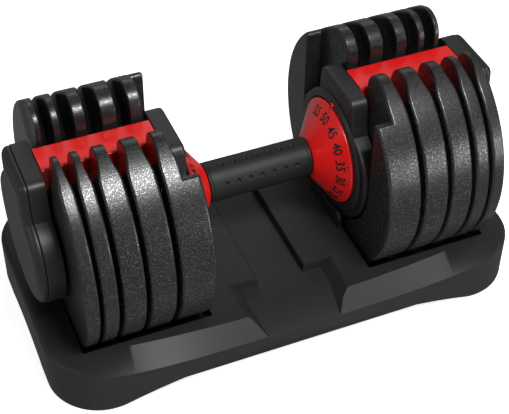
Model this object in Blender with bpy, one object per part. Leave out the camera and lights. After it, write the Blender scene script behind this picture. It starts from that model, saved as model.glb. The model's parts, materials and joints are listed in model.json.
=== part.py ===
"""Adjustable dumbbell resting in its storage tray. Millimetres here, metres in the scene."""

import math

import bmesh
import bpy
from mathutils import Vector

MM = 0.001

# Plates. The stack lists run from the innermost plate to the outermost one.
PLATE_RADIUS = 100.0
PLATE_THICKNESS = [28.35, 20.5, 18.0, 12.0, 11.0]
EAR_THICKNESS = [10.0, 12.5, 9.5, 6.0, 4.6]
PLATE_GAPS = [4.0, 3.5, 3.5, 3.0]
SLOT_HALF = 17.5
POCKET_RADIUS = 25.5
EAR_CORNER = 17.5
EAR_TAPER_START = 20.5
EAR_TAPER_RUN = 31.0
REBATE_DEPTH = 13.45
REBATE_CLEAR = 4.0
SHOULDER_CLEAR = 4.4
CIRCLE_STEPS = 72

# Handle that turns.
GRIP_RADIUS = 16.8
GRIP_HALF = 45.2
TUBE_RADIUS = 12.4
SHAFT_RADIUS = 9.0
DIAL_NECK_STEP = 0.1
DIAL_RADIUS = 45.3
DIAL_LENGTH = 22.3
DIAL_GAP = 1.6
LOBE_CLEAR = 1.5
DISC_CLEAR = 1.0
SETTING_STEP = 22.5
MARK_LEAD = 3.5
CATCH_ANGLE = 67.5
# Which dial settings carry each plate, innermost first. Setting 0 is the lightest of eleven.
CARRIED_AT = [
    [3, 4, 5, 6, 7, 8, 9, 10],
    [6, 7, 8, 9, 10],
    [2, 5, 8, 9, 10],
    [1, 4, 7, 9, 10],
    [10],
]
REST_SETTING = 9

# Keyhole housings on each side of a stack.
BOWL_RADIUS = 58.0
NECK_HALF = 29.0
NECK_RISE = 68.6
NECK_CORNER = 9.0
INNER_HOUSING = 15.1
INNER_CHAMFER = 3.0
OUTER_HOUSING = 14.0
END_COVER = 7.2
END_CHAMFER = 6.0
HOUSING_GAP = 2.5
BUSH_RADIUS = 14.0
COVER_TOP_HALF = 13.5
COVER_BASE_HALF = 16.6
COVER_HEIGHT = 18.0
BRIDGE_HALF = 13.0
BRIDGE_BOTTOM = 29.5
BRIDGE_HEIGHT = 19.0

# Tray.
SEAT_Z = 11.25
SEAT_GAP = 0.4
FIT_GAP = 0.4
DECK_Z = 45.0
TRAY_OVERHANG = 29.0
TRAY_RIM = 7.0
TRAY_CORNER = 45.0
TRAY_BASE_Z = 1.5
EDGE_ROUND = 4.5
BAND_END_INSET = 13.0
LIP_Z = 30.5
LIP_END_INSET = 18.0
BAND_TOP_INSET = 13.2
BAND_TOP_CURVE = 12.3
BAND_TOP_END_INSET = 30.0
TROUGH_CLEAR = 4.4
TROUGH_BOTTOM = 27.0
SLOT_CLEAR = 0.8
RECESS_Z = 36.5
CHANNEL_HALF = 20.0
CHANNEL_END = 56.0
PANEL_HALF = 36.0
PANEL_FRONT_HALF = 31.5
PANEL_WALL_RUN = 10.0
PANEL_DEPTH = 30.0
PANEL_FRONT_Z = 30.0
ARCH_HEIGHT = 17.0
ARCH_END_INSET = 47.0
END_ARCH_HEIGHT = 6.0
UNDERSIDE_Z = 6.5
RIDGE_HALF = 28.0
RIDGE_TOP = 61.0
RIDGE_REACH = 3.9
FOOT_RADIUS = 11.0
FOOT_END_INSET = 33.0
FOOT_SIDE_INSET = 29.0
POST_RADIUS = 2.2
PIN_RADIUS = 2.8
PIN_BORE = 3.3
PIN_LENGTH = 26.0

HOUSING_CLEAR = 1.0

AXIS_Z = SEAT_Z + SEAT_GAP + PLATE_RADIUS
REBATE_HALF = BOWL_RADIUS + REBATE_CLEAR
REBATE_SHOULDER = NECK_RISE + SHOULDER_CLEAR
DIAL_NECK_RADIUS = GRIP_RADIUS + DIAL_NECK_STEP
DIAL_NECK = GRIP_HALF + FIT_GAP
DIAL_BASE = DIAL_NECK + DIAL_LENGTH
LOBE_RADIUS = POCKET_RADIUS - LOBE_CLEAR
DISC_RADIUS = SLOT_HALF - DISC_CLEAR
STACK_START = DIAL_BASE + DIAL_GAP + INNER_HOUSING + HOUSING_CLEAR - REBATE_DEPTH
RIDGE_INNER = DIAL_BASE + DIAL_GAP - RIDGE_REACH

# Start and end of each plate along X, innermost first.
STARTS = []
ENDS = []
position = STACK_START
for index, thickness in enumerate(PLATE_THICKNESS):
    STARTS.append(position)
    position += thickness
    ENDS.append(position)
    if index < len(PLATE_GAPS):
        position += PLATE_GAPS[index]
STACK_END = ENDS[-1]
REBATE_FACE = STACK_START + REBATE_DEPTH
INNER_END = REBATE_FACE - HOUSING_CLEAR
INNER_START = INNER_END - INNER_HOUSING
OUTER_START = STACK_END + HOUSING_GAP
OUTER_END = OUTER_START + OUTER_HOUSING
COVER_START = OUTER_END + FIT_GAP
COVER_END = COVER_START + END_COVER
TRAY_HALF_LENGTH = STACK_END + TRAY_OVERHANG
NECK_TOP = AXIS_Z + NECK_RISE
TRAY_HALF_WIDTH = PLATE_RADIUS + TRAY_RIM
BAND_END = TRAY_HALF_LENGTH - BAND_END_INSET
LIP_REACH = TRAY_HALF_LENGTH - LIP_END_INSET
BAND_TOP = TRAY_HALF_WIDTH - BAND_TOP_INSET
BAND_TOP_REACH = TRAY_HALF_LENGTH - BAND_TOP_END_INSET
PANEL_START = TRAY_HALF_WIDTH - PANEL_DEPTH
ARCH_HALF = TRAY_HALF_LENGTH - ARCH_END_INSET
FOOT_X = TRAY_HALF_LENGTH - FOOT_END_INSET
FOOT_Y = TRAY_HALF_WIDTH - FOOT_SIDE_INSET

for thing in list(bpy.data.objects):
    bpy.data.objects.remove(thing, do_unlink=True)

MATERIALS = {}


def material(name, colour, roughness, metallic=0.0):
    made = bpy.data.materials.new(name)
    made.use_nodes = True
    shader = made.node_tree.nodes["Principled BSDF"]
    shader.inputs["Base Color"].default_value = (*colour, 1.0)
    shader.inputs["Roughness"].default_value = roughness
    shader.inputs["Metallic"].default_value = metallic
    made.diffuse_color = (*colour, 1.0)
    MATERIALS[name] = made


material("black_plastic", (0.035, 0.035, 0.038), 0.42)
material("housing_plastic", (0.042, 0.042, 0.046), 0.4)
material("cast_plate", (0.03, 0.03, 0.032), 0.45, 0.3)
material("red_plastic", (0.62, 0.012, 0.012), 0.25)
material("grip_rubber", (0.025, 0.025, 0.027), 0.5)
material("steel", (0.5, 0.5, 0.52), 0.3, 1.0)
material("disc_plastic", (0.09, 0.09, 0.1), 0.5)
material("foot_rubber", (0.02, 0.02, 0.02), 0.8)
material("bush_plastic", (0.7, 0.68, 0.6), 0.5)


def new_object(name, mesh_data, material_name=None, smooth=False):
    mesh = bpy.data.meshes.new(name)
    mesh_data.normal_update()
    mesh_data.to_mesh(mesh)
    mesh_data.free()
    made = bpy.data.objects.new(name, mesh)
    bpy.context.scene.collection.objects.link(made)
    if material_name:
        made.data.materials.append(MATERIALS[material_name])
    for face in made.data.polygons:
        face.use_smooth = smooth
    return made


def face_out(work):
    bmesh.ops.recalc_face_normals(work, faces=work.faces)
    if work.calc_volume(signed=True) < 0:
        bmesh.ops.reverse_faces(work, faces=work.faces)


def loft(name, loops, material_name=None):
    """Closed body through loops of equal length, given in millimetres."""
    work = bmesh.new()
    rows = []
    for loop in loops:
        rows.append([work.verts.new(Vector(point) * MM) for point in loop])
    count = len(rows[0])
    for lower, upper in zip(rows, rows[1:]):
        for i in range(count):
            j = (i + 1) % count
            work.faces.new((lower[i], lower[j], upper[j], upper[i]))
    work.faces.new(list(reversed(rows[0])))
    work.faces.new(rows[-1])
    face_out(work)
    return new_object(name, work, material_name)


def prism_x(name, outline, x0, x1, material_name=None):
    """Outline of (y, z) points carried from x0 to x1."""
    loops = [[(x, y, z) for y, z in outline] for x in (x0, x1)]
    return loft(name, loops, material_name)


def prism_y(name, outline, y0, y1, material_name=None):
    loops = [[(x, y, z) for x, z in outline] for y in (y0, y1)]
    return loft(name, loops, material_name)


def box(name, x0, x1, y0, y1, z0, z1, material_name=None):
    outline = [(y0, z0), (y1, z0), (y1, z1), (y0, z1)]
    return prism_x(name, outline, x0, x1, material_name)


def ring(name, profile, steps, material_name=None):
    """Closed (x, radius) profile carried round the handle's axis."""
    work = bmesh.new()
    rows = []
    for i in range(steps):
        angle = 2 * math.pi * i / steps
        row = []
        for x, radius in profile:
            y = radius * math.sin(angle)
            z = AXIS_Z + radius * math.cos(angle)
            row.append(work.verts.new(Vector((x, y, z)) * MM))
        rows.append(row)
    count = len(profile)
    for i in range(steps):
        here = rows[i]
        after = rows[(i + 1) % steps]
        for j in range(count):
            k = (j + 1) % count
            work.faces.new((here[j], here[k], after[k], after[j]))
    face_out(work)
    return new_object(name, work, material_name)


def rod_x(name, radius, x0, x1, steps, material_name=None, y=0.0, z=None):
    centre = AXIS_Z if z is None else z
    outline = []
    for i in range(steps):
        angle = 2 * math.pi * i / steps
        outline.append((y + radius * math.sin(angle), centre + radius * math.cos(angle)))
    return prism_x(name, outline, x0, x1, material_name)


def rod_z(name, radius, x, y, z0, z1, steps, material_name=None):
    loops = []
    for z in (z0, z1):
        loop = []
        for i in range(steps):
            angle = 2 * math.pi * i / steps
            loop.append((x + radius * math.cos(angle), y + radius * math.sin(angle), z))
        loops.append(loop)
    return loft(name, loops, material_name)


def combine(target, tools, operation="DIFFERENCE"):
    """Applies an exact Boolean and drops the helper bodies."""
    for tool in tools:
        modifier = target.modifiers.new("join", "BOOLEAN")
        modifier.operation = operation
        modifier.solver = "EXACT"
        modifier.object = tool
        graph = bpy.context.evaluated_depsgraph_get()
        made = bpy.data.meshes.new_from_object(target.evaluated_get(graph))
        target.modifiers.clear()
        old = target.data
        target.data = made
        made.name = old.name
        bpy.data.meshes.remove(old)
        bpy.data.objects.remove(tool, do_unlink=True)
    tidy(target)


def tidy(target):
    """Merges coincident points and dissolves flat seams, so that no sliver is left."""
    work = bmesh.new()
    work.from_mesh(target.data)
    bmesh.ops.remove_doubles(work, verts=work.verts, dist=0.00001)
    bmesh.ops.dissolve_limit(
        work, angle_limit=0.0005, verts=work.verts, edges=work.edges
    )
    face_out(work)
    work.to_mesh(target.data)
    work.free()


def mirrored(source, name):
    """The same body on the other side of the handle's middle."""
    work = bmesh.new()
    work.from_mesh(source.data)
    for point in work.verts:
        point.co.x = -point.co.x
    bmesh.ops.reverse_faces(work, faces=work.faces)
    made = new_object(name, work)
    made.data.materials.clear()
    for slot in source.data.materials:
        made.data.materials.append(slot)
    return made


def arc(radius, start, stop, steps, centre=(0.0, None)):
    """Points at angles measured from straight up towards +Y, in degrees."""
    cy, cz = centre
    cz = AXIS_Z if cz is None else cz
    points = []
    for i in range(steps + 1):
        angle = math.radians(start + (stop - start) * i / steps)
        points.append((cy + radius * math.sin(angle), cz + radius * math.cos(angle)))
    return points


def flip(points):
    return [(-y, z) for y, z in reversed(points)]


# Ear corner: a circle that touches the slot wall and the plate's rim from inside.
ear_centre_y = SLOT_HALF + EAR_CORNER
ear_reach = PLATE_RADIUS - EAR_CORNER
ear_centre_rise = math.sqrt(ear_reach**2 - ear_centre_y**2)
ear_angle = math.degrees(math.atan2(ear_centre_y, ear_centre_rise))


def plate_outline():
    """Round plate with a slot from the top down to a round pocket."""
    corner = arc(
        EAR_CORNER, -90.0, ear_angle, 8, (ear_centre_y, AXIS_Z + ear_centre_rise)
    )
    rim_steps = round(CIRCLE_STEPS * (180.0 - ear_angle) / 360.0)
    rim = arc(PLATE_RADIUS, ear_angle, 180.0, rim_steps)[1:]
    pocket_angle = math.degrees(math.asin(SLOT_HALF / POCKET_RADIUS))
    pocket = arc(POCKET_RADIUS, 180.0, pocket_angle, 10)[:-1]
    pocket.append((SLOT_HALF, AXIS_Z + math.sqrt(POCKET_RADIUS**2 - SLOT_HALF**2)))
    half = pocket + corner + rim
    other = flip(half)
    return half + other[1:-1]


def taper_ears(plate, low, high, thickness, ear, guard):
    """Thins the plate towards the slot, by a smooth run of flat steps.

    The steps lie along lines of equal height less distance from the middle.
    """
    start = AXIS_Z + EAR_TAPER_START
    run = EAR_TAPER_RUN
    middle = (low + high) / 2
    least = ear / thickness
    steps = [(0.0, 1.0), (0.3, 0.78), (0.65, 0.3), (1.0, 0.0)]
    work = bmesh.new()
    work.from_mesh(plate.data)
    for share, weight in steps:
        for lean in (-1, 1):
            bmesh.ops.bisect_plane(
                work,
                geom=work.verts[:] + work.edges[:] + work.faces[:],
                dist=0.0000001,
                plane_co=(0, 0, (start + run * share) * MM),
                plane_no=(0, lean * math.sqrt(0.5), math.sqrt(0.5)),
            )
    for point in work.verts:
        x = point.co.x / MM
        share = ((point.co.z - abs(point.co.y)) / MM - start) / run
        if share <= 0 or x < guard:
            continue
        keep = 0.0
        for (s0, w0), (s1, w1) in zip(steps, steps[1:]):
            if s0 <= share <= s1:
                keep = w0 + (w1 - w0) * (share - s0) / (s1 - s0)
        scale = least + (1 - least) * keep
        point.co.x = (middle + (x - middle) * scale) * MM
    bmesh.ops.remove_doubles(work, verts=work.verts, dist=0.00001)
    face_out(work)
    work.to_mesh(plate.data)
    work.free()


def keyhole(bowl, half, top, corner):
    """Outline of a housing: a round bowl with a flat-topped neck."""
    shoulder = 36.0
    cheek = math.degrees(math.acos(0.26))
    points = arc(bowl, cheek, 180.0, 20)
    begin = (half + 4.4, AXIS_Z + shoulder)
    bulge = (half + 21.0, AXIS_Z + shoulder - 7.0)
    cheeks = []
    for share in (0.0, 0.25, 0.5, 0.75):
        weights = ((1 - share) ** 2, 2 * share * (1 - share), share * share)
        y = weights[0] * begin[0] + weights[1] * bulge[0] + weights[2] * points[0][0]
        z = weights[0] * begin[1] + weights[1] * bulge[1] + weights[2] * points[0][1]
        cheeks.append((y, z))
    neck = [
        (half - corner, top),
        (half - corner * 0.617, top - corner * 0.076),
        (half - corner * 0.293, top - corner * 0.293),
        (half - corner * 0.076, top - corner * 0.617),
        (half, top - corner),
        (half + 1.6, AXIS_Z + shoulder + 9.0),
    ]
    right = neck + cheeks + points
    left = flip(right)
    return right + left[1:]


def scaled(outline, inset, bowl, half, top, corner):
    return keyhole(bowl - inset, half - inset, top - inset, max(corner - inset, 1.5))


outline = plate_outline()
for index in range(5):
    low = STARTS[index]
    high = ENDS[index]
    number = 5 - index
    plate = prism_x("plate_right_" + str(number), outline, low, high, "cast_plate")
    guard = -1.0
    if index == 0:
        rebate = arc(REBATE_HALF, 90.0, 270.0, 24)
        rebate = rebate + [
            (-REBATE_HALF, AXIS_Z + REBATE_SHOULDER),
            (-PLATE_RADIUS - 5, AXIS_Z + REBATE_SHOULDER),
            (-PLATE_RADIUS - 5, AXIS_Z + PLATE_RADIUS + 5),
            (REBATE_HALF, AXIS_Z + PLATE_RADIUS + 5),
        ]
        combine(plate, [prism_x("cutter", rebate, low - 5, REBATE_FACE)])
        low = REBATE_FACE
        guard = REBATE_FACE - 0.01
    taper_ears(plate, low, high, high - low, EAR_THICKNESS[index], guard)
    mirrored(plate, "plate_left_" + str(number))

    disc = []
    middle = (low + high) / 2
    half_disc = min(4.0, (high - low) / 2 - 1.5)
    lobes = []
    for setting in CARRIED_AT[index]:
        lobes.append(CATCH_ANGLE + (REST_SETTING - setting) * SETTING_STEP)
    for sector in range(16):
        centre = CATCH_ANGLE + sector * SETTING_STEP
        raised = any(abs((centre - lobe + 180) % 360 - 180) < 1 for lobe in lobes)
        radius = LOBE_RADIUS if raised else DISC_RADIUS
        for step in (-0.49, 0.0, 0.49):
            angle = math.radians(centre + step * SETTING_STEP)
            disc.append((-radius * math.sin(angle), AXIS_Z + radius * math.cos(angle)))
    name = "selector_disc_right_" + str(number)
    body = prism_x(name, disc, middle - half_disc, middle + half_disc, "disc_plastic")
    bore = rod_x("cutter", SHAFT_RADIUS + 0.4, low - 5, high + 5, 16)
    combine(body, [bore])
    mirrored(body, "selector_disc_left_" + str(number))

# Turning handle.
ring(
    "grip_sleeve",
    [
        (-GRIP_HALF, TUBE_RADIUS + FIT_GAP),
        (-GRIP_HALF, GRIP_RADIUS - 0.9),
        (-GRIP_HALF + 0.9, GRIP_RADIUS),
        (GRIP_HALF - 0.9, GRIP_RADIUS),
        (GRIP_HALF, GRIP_RADIUS - 0.9),
        (GRIP_HALF, TUBE_RADIUS + FIT_GAP),
    ],
    32,
    "grip_rubber",
)
rod_x("handle_tube", TUBE_RADIUS, -GRIP_HALF, GRIP_HALF, 32, "steel")
shaft_end = OUTER_END - 1.5
shaft = rod_x(
    "selector_shaft_right", SHAFT_RADIUS, DIAL_NECK, shaft_end, 16, "steel"
)
mirrored(shaft, "selector_shaft_left")
dial = ring(
    "dial_right",
    [
        (DIAL_NECK, SHAFT_RADIUS + 0.4),
        (DIAL_NECK, DIAL_NECK_RADIUS),
        (DIAL_BASE - 2.6, DIAL_RADIUS - 0.7),
        (DIAL_BASE - 1.9, DIAL_RADIUS),
        (DIAL_BASE, DIAL_RADIUS),
        (DIAL_BASE, SHAFT_RADIUS + 0.4),
    ],
    48,
    "red_plastic",
)
mirrored(dial, "dial_left")

# Inner housing, its bezel and the index mark.
inner_loops = []
for x, inset in (
    (INNER_START, INNER_CHAMFER),
    (INNER_START + INNER_CHAMFER, 0.0),
    (INNER_END, 0.0),
):
    points = scaled(outline, inset, BOWL_RADIUS + 2, NECK_HALF, NECK_TOP, NECK_CORNER)
    inner_loops.append([(x, y, z) for y, z in points])
inner = loft("inner_housing_right", inner_loops, "housing_plastic")
bore = rod_x("cutter", BUSH_RADIUS + 0.4, INNER_START - 5, INNER_END + 5, 24)
combine(inner, [bore])
mirrored(inner, "inner_housing_left")
bush = ring(
    "inner_bush_right",
    [
        (INNER_START + 0.5, SHAFT_RADIUS + 0.4),
        (INNER_START + 0.5, BUSH_RADIUS),
        (INNER_END - 0.5, BUSH_RADIUS),
        (INNER_END - 0.5, SHAFT_RADIUS + 0.4),
    ],
    24,
    "bush_plastic",
)
mirrored(bush, "inner_bush_left")
bezel_end = INNER_START - 0.3
bezel = ring(
    "dial_bezel_right",
    [
        (bezel_end - 2.4, DIAL_RADIUS + 1.0),
        (bezel_end - 2.4, DIAL_RADIUS + 6.2),
        (bezel_end, DIAL_RADIUS + 8.2),
        (bezel_end, DIAL_RADIUS + 1.0),
    ],
    48,
    "black_plastic",
)
mirrored(bezel, "dial_bezel_left")
pointer_foot = DIAL_RADIUS + 1.2
pointer_outline = []
for half_width, rise in ((-0.5, 0.6), (0.5, 0.6), (1.8, 4.4), (-1.8, 4.4)):
    lead = math.radians(MARK_LEAD)
    radius = pointer_foot + rise
    y = half_width * math.cos(lead) - radius * math.sin(lead)
    z = AXIS_Z + radius * math.cos(lead) + half_width * math.sin(lead)
    pointer_outline.append((y, z))
pointer = prism_x(
    "index_pointer_right",
    pointer_outline,
    bezel_end - 3.9,
    bezel_end - 2.7,
    "red_plastic",
)
mirrored(pointer, "index_pointer_left")

# Outer housing and end cover.
outer_shape = keyhole(BOWL_RADIUS, NECK_HALF, NECK_TOP, NECK_CORNER)
outer = prism_x(
    "outer_housing_right", outer_shape, OUTER_START, OUTER_END, "housing_plastic"
)
bore = rod_x("cutter", BUSH_RADIUS + 0.4, OUTER_START - 5, OUTER_END + 5, 24)
pin_x = (OUTER_START + OUTER_END) / 2
pin_low = AXIS_Z - BOWL_RADIUS + 2.0
pin_bore_top = pin_low + PIN_LENGTH + 6.0
pin_bore = rod_z("cutter", PIN_BORE, pin_x, 0.0, pin_low - 20, pin_bore_top, 16)
combine(outer, [bore, pin_bore])
mirrored(outer, "outer_housing_left")
bush = ring(
    "outer_bush_right",
    [
        (OUTER_START + 0.5, SHAFT_RADIUS + 0.4),
        (OUTER_START + 0.5, BUSH_RADIUS),
        (OUTER_END - 0.5, BUSH_RADIUS),
        (OUTER_END - 0.5, SHAFT_RADIUS + 0.4),
    ],
    24,
    "bush_plastic",
)
mirrored(bush, "outer_bush_left")
pin = rod_z(
    "lock_pin_right", PIN_RADIUS, pin_x, 0.0, pin_low, pin_low + PIN_LENGTH, 12, "steel"
)
mirrored(pin, "lock_pin_left")
cap_loops = []
for x, inset in (
    (COVER_START, 0.4),
    (COVER_END - END_CHAMFER, 0.4),
    (COVER_END - END_CHAMFER * 0.55, 2.2),
    (COVER_END - END_CHAMFER * 0.15, 6.2),
    (COVER_END, 9.5),
):
    points = scaled(outline, inset, BOWL_RADIUS, NECK_HALF, NECK_TOP, NECK_CORNER)
    cap_loops.append([(x, y, z) for y, z in points])
cap = loft("end_cover_right", cap_loops, "housing_plastic")
mirrored(cap, "end_cover_left")

# Bridge and the red top cover, between the two housings of a stack.
bridge_low = AXIS_Z + BRIDGE_BOTTOM
bridge = box(
    "bridge_right",
    INNER_END + FIT_GAP,
    OUTER_START - FIT_GAP,
    -BRIDGE_HALF,
    BRIDGE_HALF,
    bridge_low,
    bridge_low + BRIDGE_HEIGHT,
    "housing_plastic",
)
mirrored(bridge, "bridge_left")
cover_base = NECK_TOP - COVER_HEIGHT
wall = 2.6
cover_outline = [
    (-COVER_BASE_HALF, cover_base),
    (-COVER_BASE_HALF + wall, cover_base),
    (-COVER_TOP_HALF + wall, NECK_TOP - wall),
    (COVER_TOP_HALF - wall, NECK_TOP - wall),
    (COVER_BASE_HALF - wall, cover_base),
    (COVER_BASE_HALF, cover_base),
    (COVER_TOP_HALF + 0.2, NECK_TOP - 1.4),
    (COVER_TOP_HALF - 1.2, NECK_TOP),
    (-COVER_TOP_HALF + 1.2, NECK_TOP),
    (-COVER_TOP_HALF - 0.2, NECK_TOP - 1.4),
]
cover = prism_x(
    "top_cover_right",
    cover_outline,
    INNER_END + FIT_GAP,
    OUTER_START - FIT_GAP,
    "red_plastic",
)
mirrored(cover, "top_cover_left")


# Tray.
def rounded(length, width, corner, z):
    points = []
    steps = 8
    for cx, cy, start in (
        (length - corner, width - corner, 0.0),
        (-length + corner, width - corner, 90.0),
        (-length + corner, -width + corner, 180.0),
        (length - corner, -width + corner, 270.0),
    ):
        for i in range(steps + 1):
            angle = math.radians(start + 90.0 * i / steps)
            points.append((cx + corner * math.cos(angle), cy + corner * math.sin(angle), z))
    return points


tray_loops = []
for inset, z in (
    (0.45, TRAY_BASE_Z),
    (0.0, TRAY_BASE_Z + 1.5),
    (0.0, DECK_Z - EDGE_ROUND),
    (EDGE_ROUND * 0.134, DECK_Z - EDGE_ROUND * 0.5),
    (EDGE_ROUND * 0.5, DECK_Z - EDGE_ROUND * 0.134),
    (EDGE_ROUND, DECK_Z),
):
    length = TRAY_HALF_LENGTH - inset
    width = TRAY_HALF_WIDTH - inset
    tray_loops.append(rounded(length, width, TRAY_CORNER - inset, z))
tray = loft("tray_shell", tray_loops, "black_plastic")


def band_station(x, sign):
    """Section of the cutter that slopes the deck down to the front or back wall."""
    reach = abs(x)
    curve = min(reach, BAND_TOP_REACH) / BAND_TOP_REACH
    top_y = BAND_TOP - BAND_TOP_CURVE * curve**2.2 + max(0.0, reach - BAND_TOP_REACH) * 0.25
    lip_z = LIP_Z + (DECK_Z - LIP_Z) * (reach / LIP_REACH) ** 3.7
    run = TRAY_HALF_WIDTH - top_y
    slope = (lip_z - DECK_Z) / run
    outer = TRAY_HALF_WIDTH + 6
    return [
        (x, sign * top_y, DECK_Z),
        (x, sign * outer, DECK_Z + slope * (outer - top_y)),
        (x, sign * outer, DECK_Z + 12),
        (x, sign * top_y, DECK_Z + 12),
    ]

trough_radius = PLATE_RADIUS + TROUGH_CLEAR
trough_bottom = AXIS_Z - TROUGH_BOTTOM
low_angle = math.degrees(math.acos(trough_bottom / trough_radius))
high_angle = math.degrees(math.acos((AXIS_Z - DECK_Z - 3) / trough_radius))
trough = arc(trough_radius, 180 - high_angle, 180 - low_angle, 5)
trough = trough + flip(trough)
seat_radius = PLATE_RADIUS + SEAT_GAP
seat_angle = math.degrees(math.acos((trough_bottom - 1) / seat_radius))
seat = arc(seat_radius, 180 - seat_angle, 180 + seat_angle, 16)
cutters = []
for sign in (-1, 1):
    stations = []
    for i in range(25):
        stations.append(band_station(BAND_END * (-1 + 2 * i / 24), sign))
    cutters.append(loft("cutter", stations))
for side in (1, -1):
    near = side * (STACK_START - 2.0)
    far = side * (STACK_END + 1.6)
    cutters.append(prism_x("cutter", trough, near, far))
    for low, high in zip(STARTS, ENDS):
        near = side * (low - SLOT_CLEAR)
        far = side * (high + SLOT_CLEAR)
        cutters.append(prism_x("cutter", seat, near, far))

channel = []
for z in (RECESS_Z, DECK_Z + 5):
    half = CHANNEL_HALF + (z - RECESS_Z) * 0.12
    end = CHANNEL_END + 1.0
    channel.append([(-half, -end, z), (half, -end, z), (half, end, z), (-half, end, z)])
cutters.append(loft("cutter", channel))
for sign in (-1, 1):
    rise = DECK_Z - RECESS_Z
    grow = PANEL_WALL_RUN * (rise + 5) / rise
    start = sign * CHANNEL_END
    shoulder = sign * PANEL_START
    edge = sign * (TRAY_HALF_WIDTH + 6)
    slope = (PANEL_FRONT_Z - RECESS_Z) / (TRAY_HALF_WIDTH - PANEL_START)
    edge_z = RECESS_Z + slope * (TRAY_HALF_WIDTH + 6 - PANEL_START)
    edge_half = PANEL_FRONT_HALF - 1.0
    top_z = DECK_Z + 5
    stations = []
    for y, z, low_half, high_half in (
        (start, RECESS_Z, PANEL_HALF, PANEL_HALF + grow),
        (shoulder, RECESS_Z, PANEL_HALF, PANEL_HALF + grow),
        (edge, edge_z, edge_half, edge_half + grow),
    ):
        stations.append(
            [(-low_half, y, z), (low_half, y, z), (high_half, y, top_z), (-high_half, y, top_z)]
        )
    cutters.append(loft("cutter", stations))
    arch = []
    for i in range(13):
        share = -1 + 2 * i / 12
        height = ARCH_HEIGHT * (1 - abs(share) ** 2.6)
        arch.append((share * ARCH_HALF, TRAY_BASE_Z + height))
    arch = [(-ARCH_HALF, -5.0)] + arch + [(ARCH_HALF, -5.0)]
    cutters.append(
        prism_y("cutter", arch, sign * (TRAY_HALF_WIDTH - 5), sign * (TRAY_HALF_WIDTH + 5))
    )
    end_arch = [(-50.0, -5.0), (-50.0, TRAY_BASE_Z)]
    for i in range(1, 8):
        share = -1 + 2 * i / 8
        end_arch.append((share * 50.0, TRAY_BASE_Z + END_ARCH_HEIGHT * (1 - share**2)))
    end_arch = end_arch + [(50.0, TRAY_BASE_Z), (50.0, -5.0)]
    inside = sign * (TRAY_HALF_LENGTH - 5)
    outside = sign * (TRAY_HALF_LENGTH + 5)
    cutters.append(prism_x("cutter", end_arch, inside, outside))
skirt = TRAY_HALF_WIDTH - 4.5
reach = TRAY_HALF_LENGTH - 4.5
cutters.append(box("cutter", -150.0, 150.0, -skirt, skirt, -5.0, UNDERSIDE_Z))
cutters.append(box("cutter", -reach, -149.0, -55.0, 55.0, -5.0, UNDERSIDE_Z))
cutters.append(box("cutter", 149.0, reach, -55.0, 55.0, -5.0, UNDERSIDE_Z))
cutters.append(box("cutter", -60.0, 60.0, -skirt + 1, skirt - 1, UNDERSIDE_Z - 1, 28.0))
for sx in (-1, 1):
    for sy in (-1, 1):
        cutters.append(
            rod_z("cutter", FOOT_RADIUS + 0.4, sx * FOOT_X, sy * FOOT_Y, -5.0, 4.4, 20)
        )
combine(tray, cutters)

# Ridges that the inner housings rest beside, and posts that hold the lock pins up.
for side, side_name in ((1, "right"), (-1, "left")):
    stand = DECK_Z + FIT_GAP
    lip = [
        (-RIDGE_HALF, stand),
        (RIDGE_HALF, stand),
        (RIDGE_HALF, RIDGE_TOP - 4),
        (RIDGE_HALF - 4, RIDGE_TOP),
    ]
    lip += arc(DIAL_RADIUS + 8.9, 162.0, 198.0, 6)
    lip += [(-RIDGE_HALF + 4, RIDGE_TOP), (-RIDGE_HALF, RIDGE_TOP - 4)]
    near = side * RIDGE_INNER
    far = side * (INNER_START - 0.4)
    prism_x("seat_ridge_" + side_name, lip, near, far, "black_plastic")
    post_top = pin_low - FIT_GAP
    rod_z(
        "lock_post_" + side_name,
        POST_RADIUS,
        side * pin_x,
        0.0,
        stand,
        post_top,
        12,
        "black_plastic",
    )
for n, (sx, sy) in enumerate(((-1, -1), (1, -1), (1, 1), (-1, 1)), start=1):
    rod_z(
        "tray_foot_" + str(n),
        FOOT_RADIUS,
        sx * FOOT_X,
        sy * FOOT_Y,
        0.0,
        4.0,
        20,
        "foot_rubber",
    )
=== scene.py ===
import json
import math

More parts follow.
